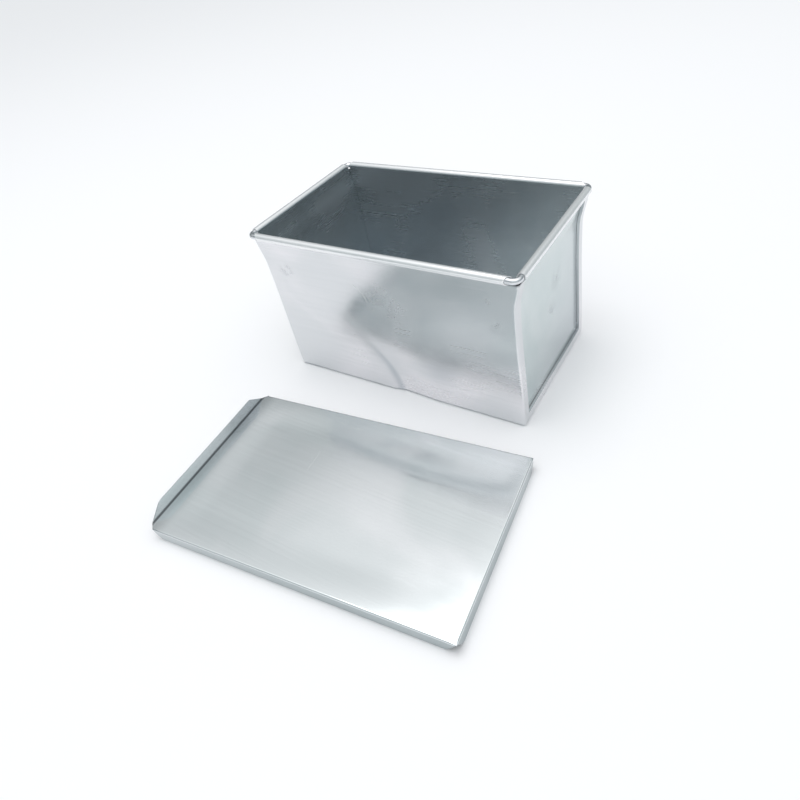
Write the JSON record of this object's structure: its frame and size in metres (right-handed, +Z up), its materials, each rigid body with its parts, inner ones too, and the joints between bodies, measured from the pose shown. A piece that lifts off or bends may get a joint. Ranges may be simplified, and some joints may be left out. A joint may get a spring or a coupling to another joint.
{
  "type": "loaf pan with sliding lid",
  "caption": "Lidded loaf pan of folded bright sheet metal with wired rim, lock-seamed ends and a sliding lid lying beside it.",
  "frame": {"origin": "middle of the pan's flat underside, on the table", "axes": "+X along the pan's length to its right end, -Y to the front wall and the lid, +Z up"},
  "size_m": [0.2377, 0.2999, 0.124],
  "materials": {
    "body_sheet": "bright rolled metal-coated steel sheet, soft satin shine with light wear",
    "end_sheet": "bright rolled metal-coated steel sheet, slightly duller, lightly dented",
    "wire": "plain drawn steel wire, shiny where it shows at the corners",
    "lid_sheet": "bright rolled metal-coated steel sheet, soft satin shine"
  },
  "bodies": {
    "pan": {"body_sheet": "body_sheet", "left_end_panel": "end_sheet", "right_end_panel": "end_sheet", "rim_wire": "wire"},
    "lid": {"sliding_lid": "lid_sheet"}
  },
  "joints": [
    {"name": "lid_lift", "type": "slide", "parent": "pan", "child": "lid", "axis": [0, 0, 1], "range_m": [0, 0.13]}
  ]
}
